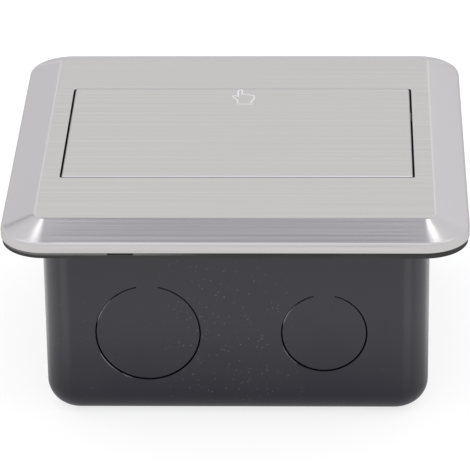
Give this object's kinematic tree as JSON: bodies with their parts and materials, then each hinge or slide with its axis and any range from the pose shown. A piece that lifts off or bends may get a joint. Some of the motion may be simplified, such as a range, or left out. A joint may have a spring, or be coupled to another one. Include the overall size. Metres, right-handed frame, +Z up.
{
  "type": "desk socket box",
  "caption": "Square flush desk box with a bevelled brushed-steel plate, a see-saw lid over recessed earthed sockets, and a black steel back box with conduit knockouts.",
  "frame": {"origin": "centre of the back box's underside", "axes": "+Z up out of the desk, +X to the right and +Y to the back as the user faces it"},
  "size_m": [0.12, 0.12, 0.0586],
  "materials": {
    "brushed_stainless": "brushed along X",
    "gasket_foam": "matt closed-cell foam",
    "black_paint": "satin black paint",
    "dark_plastic": "fine satin moulding",
    "zinc_steel": "bright zinc",
    "spring_steel": "nickel-plated spring strip",
    "hinge_steel": "ground pin",
    "brass": "turned brass",
    "buffer_rubber": "matt rubber",
    "bush_acetal": "natural acetal",
    "socket_plastic": "semi-gloss white moulding",
    "base_plastic": "matt grey moulding"
  },
  "bodies": {
    "housing": {"face_plate": "brushed_stainless", "plate_gasket": "gasket_foam", "back_box": "black_paint", "box_lugs": "black_paint", "support_frame": "dark_plastic", "stud_nuts": "zinc_steel", "fixing_screws": "zinc_steel", "earth_boss": "zinc_steel", "earth_washer": "brass", "earth_screw": "brass", "hinge_pin_left": "hinge_steel", "hinge_pin_right": "hinge_steel", "socket_insert_left": "socket_plastic", "socket_insert_right": "socket_plastic", "socket_base_left": "base_plastic", "socket_base_right": "base_plastic", "contact_sleeves_left": "brass", "contact_sleeves_right": "brass", "earth_strap_left": "spring_steel", "earth_strap_right": "spring_steel", "centre_screw_left": "zinc_steel", "centre_screw_right": "zinc_steel", "terminal_screws_left": "brass", "terminal_screws_right": "brass"},
    "lid": {"lid": "brushed_stainless", "lid_frame": "dark_plastic", "lid_retainers": "spring_steel", "lid_buffers": "buffer_rubber", "hinge_bush_left": "bush_acetal", "hinge_bush_right": "bush_acetal"}
  },
  "joints": [
    {"name": "lid_hinge", "type": "hinge", "parent": "housing", "child": "lid", "pos_m": [0, 0.01625, 0.05465], "axis": [-1, 0, 0], "range_deg": [0, 95]}
  ]
}
